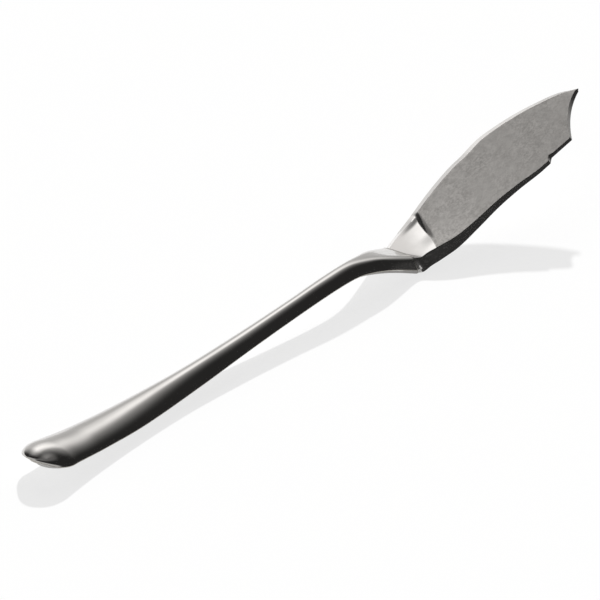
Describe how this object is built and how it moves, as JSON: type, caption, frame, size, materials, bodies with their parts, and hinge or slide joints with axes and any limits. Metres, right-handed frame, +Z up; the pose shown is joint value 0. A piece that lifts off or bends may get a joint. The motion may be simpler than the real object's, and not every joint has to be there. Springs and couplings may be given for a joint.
{
  "type": "fish knife",
  "caption": "Fish knife with a broad, blunt-backed blade, a notched spine and slanted tip, and a slim hollow handle that swells at its upturned end.",
  "frame": {"origin": "centre of the box in plan, at the level of the surface that the knife rests on", "axes": "+X along the knife towards the tip of the blade, +Y towards the cutting edge, +Z up from the surface that the knife rests on"},
  "size_m": [0.2052, 0.0223, 0.0241],
  "materials": {
    "satin_steel": "satin blade face, polished heel",
    "polished_steel": "mirror polish",
    "cement": "cast, matt",
    "braze": "ground flush"
  },
  "bodies": {
    "root": {"blade": "satin_steel", "handle_upper_shell": "polished_steel", "handle_lower_shell": "polished_steel", "handle_filler": "cement", "seam_braze": "braze", "neck_braze": "braze"}
  },
  "joints": []
}
